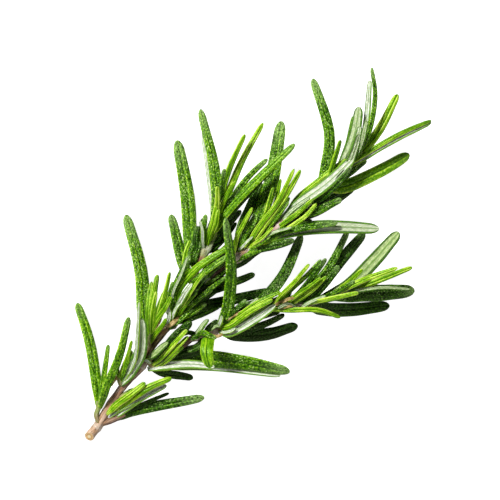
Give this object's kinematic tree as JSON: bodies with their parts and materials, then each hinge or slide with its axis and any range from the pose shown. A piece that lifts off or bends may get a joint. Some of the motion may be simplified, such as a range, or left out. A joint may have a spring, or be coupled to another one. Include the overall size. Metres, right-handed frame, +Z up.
{
  "type": "rosemary sprig",
  "caption": "Cut rosemary sprig lying flat: a brown woody stem that forks into leafy green shoots and small sprays of narrow leathery leaves.",
  "frame": {"origin": "centre of the sprig's bounding box, at the table that it lies on", "axes": "+Z up from the table, +Y along the picture's height from the cut end towards the shoot's head, +X to the right of that"},
  "size_m": [0.0888, 0.0932, 0.022],
  "materials": {
    "leaf": "waxy green above, pale felt below",
    "young_leaf": "waxy bright green above, pale felt below",
    "bark": "matt fibrous bark"
  },
  "bodies": {
    "root": {"woody_stem": "bark", "main_shoot": "leaf", "upper_shoot": "leaf", "side_shoot": "leaf", "basal_left_spray": "young_leaf", "basal_right_spray": "young_leaf", "second_left_spray": "young_leaf", "second_right_spray": "young_leaf", "fork_left_spray": "young_leaf", "fork_right_spray": "young_leaf", "side_node_spray": "young_leaf"}
  },
  "joints": []
}
